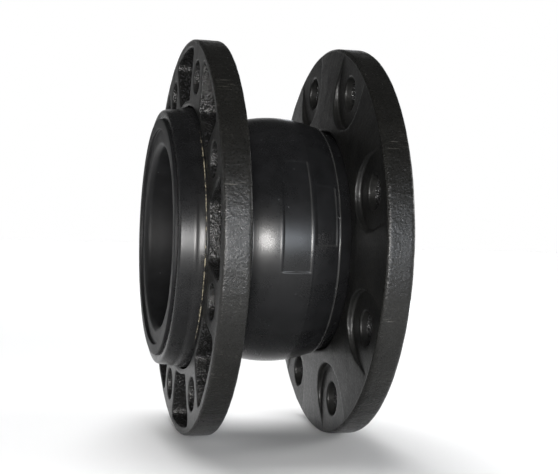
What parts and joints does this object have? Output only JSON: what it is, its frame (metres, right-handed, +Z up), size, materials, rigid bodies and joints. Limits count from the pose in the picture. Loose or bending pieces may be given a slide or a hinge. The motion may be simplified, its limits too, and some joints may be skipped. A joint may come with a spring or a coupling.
{
  "type": "rubber expansion joint",
  "caption": "Flanged rubber pipe expansion joint: a short round bellows with a bulging arch, beaded ends and loose cast flanges that turn on the beads.",
  "frame": {"origin": "middle of the bore, halfway between the sealing faces", "axes": "+X along the flow axis to the right flange, +Z up, -Y to the front"},
  "size_m": [0.1332, 0.229, 0.229],
  "materials": {
    "cast_iron": "black coated, rough cast",
    "cover_rubber": "moulded, satin",
    "liner_rubber": "moulded, smooth",
    "filler_rubber": "hard, dull",
    "cord_ply": "rubber-coated cord",
    "bead_steel": "drawn wire"
  },
  "bodies": {
    "left_flange": {"left_flange": "cast_iron"},
    "left_collar": {"left_collar": "cover_rubber", "left_tube_end": "liner_rubber", "left_inner_ply_turn_up": "cord_ply", "left_outer_ply_turn_up": "cord_ply", "left_bead_wire": "bead_steel", "left_bead_filler": "filler_rubber"},
    "left_arch": {"left_arch_cover": "cover_rubber", "left_arch_outer_ply": "cord_ply", "left_arch_inner_ply": "cord_ply", "left_arch_tube": "liner_rubber"},
    "right_flange": {"right_flange": "cast_iron"},
    "right_collar": {"right_collar": "cover_rubber", "right_tube_end": "liner_rubber", "right_inner_ply_turn_up": "cord_ply", "right_outer_ply_turn_up": "cord_ply", "right_bead_wire": "bead_steel", "right_bead_filler": "filler_rubber"},
    "right_arch": {"right_arch_cover": "cover_rubber", "right_arch_outer_ply": "cord_ply", "right_arch_inner_ply": "cord_ply", "right_arch_tube": "liner_rubber"}
  },
  "joints": [
    {"name": "left_flange_turn", "type": "hinge", "parent": "left_flange", "child": "left_collar", "pos_m": [-0.0505, 0, 0], "axis": [1, 0, 0], "continuous": true},
    {"name": "left_bend", "type": "hinge", "parent": "left_collar", "child": "left_arch", "pos_m": [-0.026, 0, 0], "axis": [0, 1, 0], "range_deg": [-7.5, 7.5], "stiffness_Nm_per_rad": 340, "deforming": ["left_arch_cover", "left_arch_outer_ply", "left_arch_inner_ply", "left_arch_tube"]},
    {"name": "axial_travel", "type": "slide", "parent": "left_arch", "child": "right_arch", "axis": [1, 0, 0], "range_m": [-0.015, 0.01], "stiffness_N_per_m": 85000},
    {"name": "right_bend", "type": "hinge", "parent": "right_arch", "child": "right_collar", "pos_m": [0.026, 0, 0], "axis": [0, 1, 0], "range_deg": [-7.5, 7.5], "stiffness_Nm_per_rad": 340, "deforming": ["right_arch_cover", "right_arch_outer_ply", "right_arch_inner_ply", "right_arch_tube"]},
    {"name": "right_flange_turn", "type": "hinge", "parent": "right_collar", "child": "right_flange", "pos_m": [0.0505, 0, 0], "axis": [1, 0, 0], "continuous": true}
  ]
}
